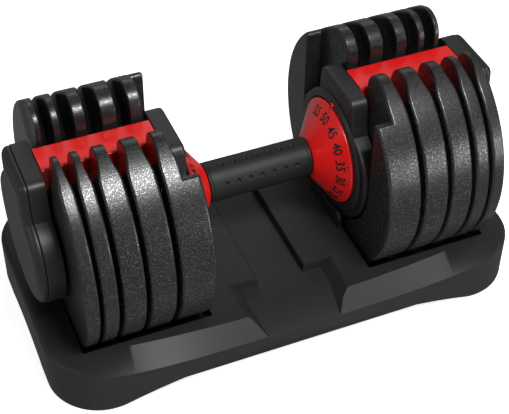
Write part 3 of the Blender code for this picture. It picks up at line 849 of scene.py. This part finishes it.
def buildNumbers(side):
    shape = dialShape
    whole = bmesh.new()
    for index, text in enumerate(shape["numbers"]):
        work = numberMesh(text)
        acrosses = [point.co.x for point in work.verts]
        ups = [point.co.y for point in work.verts]
        low, high = min(ups), max(ups)
        middle = (min(acrosses) + max(acrosses)) / 2
        scale = shape["numberHeight"] / (high - low)
        width = (max(acrosses) - min(acrosses)) * scale
        squeeze = min(1.0, shape["widest"] / width)
        bmesh.ops.triangulate(work, faces=work.faces)
        outer = bmesh.ops.extrude_face_region(work, geom=work.faces[:])
        lifted = {made for made in outer["geom"] if isinstance(made, bmesh.types.BMVert)}
        centre = (shape["atTop"] - index) * shape["step"] + shape["lead"]
        for point in work.verts:
            along = (point.co.x - middle) * scale * squeeze
            up = (point.co.y - (low + high) / 2) * scale
            radius = shape["numberRadius"] + up
            angle = centre + side * math.degrees(along / radius)
            proud = shape["proud"] if point in lifted else shape["rooted"]
            point.co = conePoint(radius, angle, proud, side) * mm
        facesOut(work)
        mesh = bpy.data.meshes.new("number")
        work.to_mesh(mesh)
        work.free()
        whole.from_mesh(mesh)
        bpy.data.meshes.remove(mesh)
        rows = []
        for proud in (shape["rooted"], shape["proud"]):
            row = []
            for i in range(shape["dotSteps"]):
                angle = 2 * math.pi * i / shape["dotSteps"]
                along = shape["dotSize"] * math.sin(angle) / shape["dotRadius"]
                radius = shape["dotRadius"] + shape["dotSize"] * math.cos(angle)
                row.append(tuple(conePoint(radius, centre + math.degrees(along), proud, side)))
            rows.append(row)
        lofted(whole, rows)
    return whole


for sideName, side in sides.items():
    label = sideName.capitalize()
    piece("dial" + label, forSide(buildDial(), side), "red", "handle",
          ["dial_" + sideName], 30.0)
    piece("dialNumbers" + label, buildNumbers(side), "ink", "handle",
          [], 30.0, False, False)
print("dials ready")

# grip sleeve with rows of dimples
gripShape = {
    "radius": 16.8, "bore": 12.8, "rows": 6, "firstRow": 5.0, "perRow": 7, "reach": 30.9,
    "dimpleRadius": 1.9, "dimpleDepth": 1.5,
    "grooveAt": 42.6, "grooveWidth": 0.8, "grooveDepth": 0.35,
    "around": 360, "along": 260, "edge": 1.0,
}


def gripRadiusAt(x, angle):
    shape = gripShape
    radius = shape["radius"]
    fromGroove = abs(abs(x) - shape["grooveAt"])
    if fromGroove < shape["grooveWidth"]:
        wave = 1 + math.cos(math.pi * fromGroove / shape["grooveWidth"])
        radius -= shape["grooveDepth"] * 0.5 * wave
    spacing = 2 * shape["reach"] / (shape["perRow"] - 1)
    if abs(x) > shape["reach"] + 3:
        return radius
    offX = x - round(x / spacing) * spacing
    turn = 360.0 / shape["rows"]
    offAngle = (angle - shape["firstRow"] + turn / 2) % turn - turn / 2
    away = math.hypot(offX, math.radians(offAngle) * radius)
    if away < shape["dimpleRadius"]:
        radius -= shape["dimpleDepth"] * (1 - (away / shape["dimpleRadius"]) ** 2) ** 0.7
    return radius


def buildGrip():
    shape = gripShape
    low, high = span("grip_sleeve")
    work = bmesh.new()
    stations = []
    for i in range(shape["along"] + 1):
        stations.append(low.x + (high.x - low.x) * i / shape["along"])
    loops = []
    bare = [
        (low.x, shape["bore"]), (low.x, shape["radius"] - shape["edge"]),
        (low.x + 0.3, shape["radius"] - 0.3),
    ]

    def ringAt(x, radiusFor):
        points = []
        for i in range(shape["around"]):
            angle = 360.0 * i / shape["around"]
            radius = radiusFor(angle)
            turn = math.radians(angle)
            points.append((x, -radius * math.sin(turn), axisZ + radius * math.cos(turn)))
        return points

    for x, radius in bare:
        loops.append(ringAt(x, lambda angle: radius))
    for x in stations:
        if abs(x) < high.x - shape["edge"]:
            loops.append(ringAt(x, lambda angle: gripRadiusAt(x, angle)))
    for x, radius in reversed(bare):
        loops.append(ringAt(-x, lambda angle: radius))
    rows = lofted(work, loops, False)
    count = shape["around"]
    for i in range(count):
        j = (i + 1) % count
        work.faces.new((rows[-1][i], rows[-1][j], rows[0][j], rows[0][i]))
    return work


piece("gripSleeve", buildGrip(), "grip", "handle", ["grip_sleeve"], 55.0, False)
print("grip ready")

# tray
trayShape = {
    # all from the middle of the tray, heights over the floor
    "halfLength": 205.0, "halfWidth": 107.0, "corner": 45.0, "deck": 45.0, "base": 1.5,
    "edgeRound": 4.5, "cornerSteps": 28, "recessRound": 2.0, "lipRound": 1.6, "troughRound": 0.7,
    "bandEnd": 192.0, "bandTop": 93.8, "bandCurve": 12.3, "bandReach": 175.0,
    "lip": 30.5, "lipReach": 187.0,
    "troughClear": 4.4, "troughDepth": 84.65, "seatGap": 0.4, "slotClear": 0.8,
    "recess": 36.5, "channelHalf": 20.0, "channelEnd": 56.0,
    "panelHalf": 36.0, "panelFrontHalf": 31.5, "panelWallRun": 10.0,
    "panelStart": 77.0, "panelFrontZ": 30.0,
    "archHeight": 17.0, "archHalf": 158.0, "endArch": 6.0, "endArchHalf": 50.0,
    "underside": 6.5, "wall": 4.5, "below": -5.0, "footHole": 4.4,
    "footRadius": 11.0, "footClear": 0.4, "footX": 172.0, "footY": 78.0,
}


def roundedLoop(length, width, corner, z):
    points = []
    steps = trayShape["cornerSteps"]
    midX, midY = length - corner, width - corner
    centres = [(midX, midY), (-midX, midY), (-midX, -midY), (midX, -midY)]
    for quarter, (cx, cy) in enumerate(centres):
        for i in range(steps + 1):
            angle = math.radians(90.0 * quarter + 90.0 * i / steps)
            points.append((cx + corner * math.cos(angle), cy + corner * math.sin(angle), z))
    return points


def toolBox(x0, x1, y0, y1, z0, z1):
    tool = bmesh.new()
    lofted(tool, [[(x0, y0, z), (x1, y0, z), (x1, y1, z), (x0, y1, z)] for z in (z0, z1)])
    return tool


def bandStation(x, sign):
    # section of the tool that slopes the deck down to the front or back wall
    shape = trayShape
    reach = abs(x)
    curve = min(reach, shape["bandReach"]) / shape["bandReach"]
    beyond = max(0.0, reach - shape["bandReach"])
    topY = shape["bandTop"] - shape["bandCurve"] * curve**2.2 + beyond * 0.25
    rise = (shape["deck"] - shape["lip"]) * (reach / shape["lipReach"]) ** 3.7
    lipZ = shape["lip"] + rise
    slope = (lipZ - shape["deck"]) / (shape["halfWidth"] - topY)
    outer, above = shape["halfWidth"] + 6, shape["deck"] + 12
    return [
        (x, sign * topY, shape["deck"]),
        (x, sign * outer, shape["deck"] + slope * (outer - topY)),
        (x, sign * outer, above),
        (x, sign * topY, above),
    ]


def softLip(foot, crest, reach):
    # wall from its foot up to the deck, with a soft turn onto the deck
    foot, crest = Vector(foot), Vector(crest)
    start = crest - (crest - foot).normalized() * reach
    stop = crest + Vector((reach, 0.0))
    return [tuple(foot)] + [curved(start, crest, stop, i / 6) for i in range(7)]


def trayBlank():
    # the solid moulding before anything is cut from it
    shape = trayShape
    deck, base, edgeRound = shape["deck"], shape["base"], shape["edgeRound"]
    section = [(0.45, base), (0.15, base + 0.5), (0.0, base + 1.4), (0.0, base + 4.0)]
    for i in range(9):
        angle = math.pi / 2 * i / 8
        z = deck - edgeRound * (1 - math.sin(angle))
        section.append((edgeRound * (1 - math.cos(angle)), z))
    loops = []
    for inset, z in section:
        length, width = shape["halfLength"] - inset, shape["halfWidth"] - inset
        loops.append(roundedLoop(length, width, shape["corner"] - inset, z))
    work = bmesh.new()
    lofted(work, loops)
    return work


def bandTools():
    shape, tools = trayShape, []
    for sign in (-1, 1):
        places = [shape["bandEnd"] * (-1 + 2 * i / 96) for i in range(97)]
        tool = bmesh.new()
        lofted(tool, [bandStation(x, sign) for x in places])
        tools.append(tool)
    return tools


def wellTools():
    # a trough under each stack, and in it a close seat for every plate
    shape, tools = trayShape, []
    firstPlate, lastPlate = span("plate_right_5")[0].x, span("plate_right_1")[1].x
    centre = (0.0, axisZ)
    troughRadius = plateRadius + shape["troughClear"]
    depth = shape["troughDepth"]
    lowAngle = math.degrees(math.acos(depth / troughRadius))
    highAngle = math.degrees(math.acos((axisZ - shape["deck"] - 3) / troughRadius))
    trough = arc(troughRadius, 180 - highAngle, 180 - lowAngle, 14, centre)
    trough = trough + flipped(trough)
    seatRadius = plateRadius + shape["seatGap"]
    seatAngle = math.degrees(math.acos((depth - 1) / seatRadius))
    seat = arc(seatRadius, 180 - seatAngle, 180 + seatAngle, 48, centre)
    for side in (1, -1):
        tools.append(toolPrism(trough, side * (firstPlate - 2.0), side * (lastPlate + 1.6)))
        for number in range(1, 6):
            low, high = span("plate_right_%d" % number)
            clear = shape["slotClear"]
            tools.append(toolPrism(seat, side * (low.x - clear), side * (high.x + clear)))
    return tools


def channelTool():
    shape, deck = trayShape, trayShape["deck"]
    foot = (shape["channelHalf"], shape["recess"])
    lip = softLip(foot, (shape["channelHalf"] + 1.0, deck), shape["recessRound"])
    end = shape["channelEnd"] + 1.0
    loops = []
    for half, z in lip + [(lip[-1][0], deck + 5)]:
        loops.append([(-half, -end, z), (half, -end, z), (half, end, z), (-half, end, z)])
    channel = bmesh.new()
    lofted(channel, loops)
    return channel


def edgeTools():
    # at front and back a sloped panel and an arch, and a low arch at each end
    shape, tools = trayShape, []
    deck, base, below = shape["deck"], shape["base"], shape["below"]
    edge = shape["halfWidth"] + 6
    slope = (shape["panelFrontZ"] - shape["recess"]) / (shape["halfWidth"] - shape["panelStart"])
    edgeZ = shape["recess"] + slope * (edge - shape["panelStart"])
    edgeHalf = shape["panelFrontHalf"] - 1.0
    for sign in (-1, 1):
        panel = bmesh.new()
        loops = []
        for y, z, half in (
            (shape["channelEnd"], shape["recess"], shape["panelHalf"]),
            (shape["panelStart"], shape["recess"], shape["panelHalf"]),
            (edge, edgeZ, edgeHalf),
        ):
            lip = softLip((half, z), (half + shape["panelWallRun"], deck), shape["recessRound"])
            right = lip + [(lip[-1][0], deck + 5)]
            loops.append([(x, sign * y, height) for x, height in right]
                         + [(-x, sign * y, height) for x, height in reversed(right)])
        lofted(panel, loops)
        tools.append(panel)
        half = shape["archHalf"]
        arch = [(-half, below)]
        for i in range(49):
            share = -1 + 2 * i / 48
            arch.append((share * half, base + shape["archHeight"] * (1 - abs(share) ** 2.6)))
        arch.append((half, below))
        tool = bmesh.new()
        faces = (sign * (shape["halfWidth"] - 5), sign * (shape["halfWidth"] + 5))
        lofted(tool, [[(x, y, z) for x, z in arch] for y in faces])
        tools.append(tool)
        half = shape["endArchHalf"]
        arch = [(-half, below)]
        for i in range(33):
            share = -1 + 2 * i / 32
            arch.append((share * half, base + shape["endArch"] * (1 - share**2)))
        arch.append((half, below))
        length = shape["halfLength"]
        tools.append(toolPrism(arch, sign * (length - 5), sign * (length + 5)))
    return tools


def undersideTools():
    # the hollow underneath, and a hole for each foot
    shape = trayShape
    below, top = shape["below"], shape["underside"]
    skirt, reach = shape["halfWidth"] - shape["wall"], shape["halfLength"] - shape["wall"]
    tools = [
        toolBox(-150.0, 150.0, -skirt, skirt, below, top),
        toolBox(-reach, -149.0, -55.0, 55.0, below, top),
        toolBox(149.0, reach, -55.0, 55.0, below, top),
        toolBox(-60.0, 60.0, -skirt + 1, skirt - 1, top - 1, 28.0),
    ]
    radius = shape["footRadius"] + shape["footClear"]
    for x in (-shape["footX"], shape["footX"]):
        for y in (-shape["footY"], shape["footY"]):
            tool = bmesh.new()
            rodZ(tool, radius, x, y, below, shape["footHole"], 40, 0.0)
            tools.append(tool)
    return tools


def buildTray():
    shape = trayShape
    tools = bandTools() + wellTools() + [channelTool()] + edgeTools() + undersideTools()
    work = carve(trayBlank(), tools)
    facesOut(work)

    def middle(edge):
        return (edge.verts[0].co + edge.verts[1].co) / mm / 2

    def atTrough(edge):
        spot = middle(edge)
        inside = 69 < abs(spot.x) < 179 and abs(spot.y) < 80.6
        lowest = min(point.co.z for point in edge.verts) / mm
        return inside and lowest > shape["deck"] - 0.02

    def atLip(edge):
        spot = middle(edge)
        onWall = abs(spot.y) > shape["halfWidth"] - 0.3 and abs(spot.x) < 160
        return onWall and spot.z > shape["lip"] - 0.8

    roundEdges(work, shape["troughRound"], 2, 30.0, atTrough)
    roundEdges(work, shape["lipRound"], 3, 18.0, atLip)
    return work


piece("trayShell", buildTray(), "tray", "tray", ["tray_shell"], 24.0)
print("tray ready")

# ridges beside the dials, lock posts and feet
ridgeShape = {"half": 28.0, "top": 61.0, "lip": 54.2, "corner": 4.0, "cornerRound": 2.0}
for sideName, side in sides.items():
    low, high = span("seat_ridge_right")
    lip = arc(ridgeShape["lip"], 162.0, 198.0, 24, (0.0, axisZ))
    half, top, soft = ridgeShape["half"], ridgeShape["top"], ridgeShape["cornerRound"]
    innerHalf, shoulder = half - ridgeShape["corner"], top - ridgeShape["corner"]
    outline = filleted(
        [(-half, low.z, 0), (half, low.z, 0), (half, shoulder, soft), (innerHalf, top, soft)]
        + [(y, z, 0) for y, z in lip]
        + [(-innerHalf, top, soft), (-half, shoulder, soft)], 5,
    )
    work = bmesh.new()
    roundedSlab(work, outline, low.x, high.x, 0.6, 0.6, 3)
    label = sideName.capitalize()
    piece("seatRidge" + label, forSide(work, side), "tray", "tray",
          ["seat_ridge_" + sideName], 40.0)
    low, high = span("lock_post_" + sideName)
    work = bmesh.new()
    rodZ(work, (high.y - low.y) / 2, (low.x + high.x) / 2, 0.0, low.z, high.z, 40, 0.5)
    piece("lockPost" + label, work, "tray", "tray",
          ["lock_post_" + sideName], 40.0)
for number in range(1, 5):
    low, high = span("tray_foot_%d" % number)
    middle = (low + high) / 2
    work = bmesh.new()
    rodZ(work, (high.x - low.x) / 2, middle.x, middle.y, low.z, high.z, 48, 0.6)
    piece("trayFoot%d" % number, work, "foot", "tray",
          ["tray_foot_%d" % number], 40.0)
print("ridges and feet ready")

# inner parts keep their CAD shape and take a worked finish
innerFinishes = {
    "bridge_": "housing", "handle_tube": "steel", "selector_shaft": "steel", "lock_pin": "steel",
    "selector_disc": "disc", "inner_bush": "bush", "outer_bush": "bush",
}
for name, node in frame["nodes"].items():
    for start, finish in innerFinishes.items():
        if name.startswith(start):
            node.data.materials.clear()
            node.data.materials.append(finishes[finish].material)
print("inner parts finished")

# floor, light and camera
studio = {
    "floorHalf": 9.0, "floorColour": (0.93, 0.93, 0.93), "floorDark": 0.92, "floorLight": 0.95,
    "floorGlow": 0.8, "world": (1.0, 1.0, 1.0), "worldStrength": 0.2,
    # name, place, aim, width, height and watts
    "lamps": [
        ("keyPanel", (0.16, -0.7, 1.3), (0.0, 0.0, 0.1), 0.4, 0.32, 19.0),
        ("frontRightPanel", (0.8, -1.1, 0.25), (0.0, 0.0, 0.12), 0.7, 0.4, 6.0),
        ("leftPanel", (-1.3, 0.1, 0.5), (0.0, 0.0, 0.1), 0.4, 0.6, 1.6),
        ("backPanel", (0.2, 1.3, 0.9), (0.0, 0.0, 0.1), 1.2, 0.6, 2.5),
    ],
}
floorMesh = bpy.data.meshes.new("floor")
half = studio["floorHalf"]
corners = [(-half, -half, 0), (half, -half, 0), (half, half, 0), (-half, half, 0)]
floorMesh.from_pydata(corners, [], [(0, 1, 2, 3)])
floor = bpy.data.objects.new("floor", floorMesh)
bpy.context.scene.collection.objects.link(floor)
floorFinish = Finish("floorPaper", studio["floorColour"], 0.9)
grain = floorFinish.grain(30.0, 3.0)
tone = floorFinish.mixed(grain, grey(studio["floorDark"]), grey(studio["floorLight"]))
floorFinish.drive("Base Color", tone)
floorFinish.fix("Emission Color", (1.0, 1.0, 1.0, 1.0))
floorFinish.fix("Emission Strength", studio["floorGlow"])
floorMesh.materials.append(floorFinish.material)
floor.visible_glossy = False
floor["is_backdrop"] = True
world = bpy.data.worlds.new("studioWorld")
bpy.context.scene.world = world
world.use_nodes = True
background = world.node_tree.nodes["Background"]
background.inputs["Color"].default_value = (*studio["world"], 1.0)
background.inputs["Strength"].default_value = studio["worldStrength"]
for name, place, aim, sizeX, sizeY, power in studio["lamps"]:
    lamp = bpy.data.lights.new(name, "AREA")
    lamp.shape = "RECTANGLE"
    lamp.size = sizeX
    lamp.size_y = sizeY
    lamp.energy = power
    holder = bpy.data.objects.new(name, lamp)
    holder.location = place
    holder.rotation_euler = (Vector(aim) - Vector(place)).to_track_quat("-Z", "Y").to_euler()
    bpy.context.scene.collection.objects.link(holder)

eye = {
    "place": (-0.3122, -0.7306, 0.8085), "turn": (47.349, -0.681, -22.849),
    "lens": 90.74, "shiftX": -0.0119, "shiftY": -0.0124,
}
lens = bpy.data.cameras.new("camera")
lens.sensor_width = 36.0
lens.lens = eye["lens"]
lens.shift_x = eye["shiftX"]
lens.shift_y = eye["shiftY"]
lens.clip_start = 0.01
camera = bpy.data.objects.new("camera", lens)
camera.location = eye["place"]
camera.rotation_euler = [math.radians(angle) for angle in eye["turn"]]
bpy.context.scene.collection.objects.link(camera)
bpy.context.scene.camera = camera
bpy.context.scene.view_settings.view_transform = "Standard"

low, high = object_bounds()
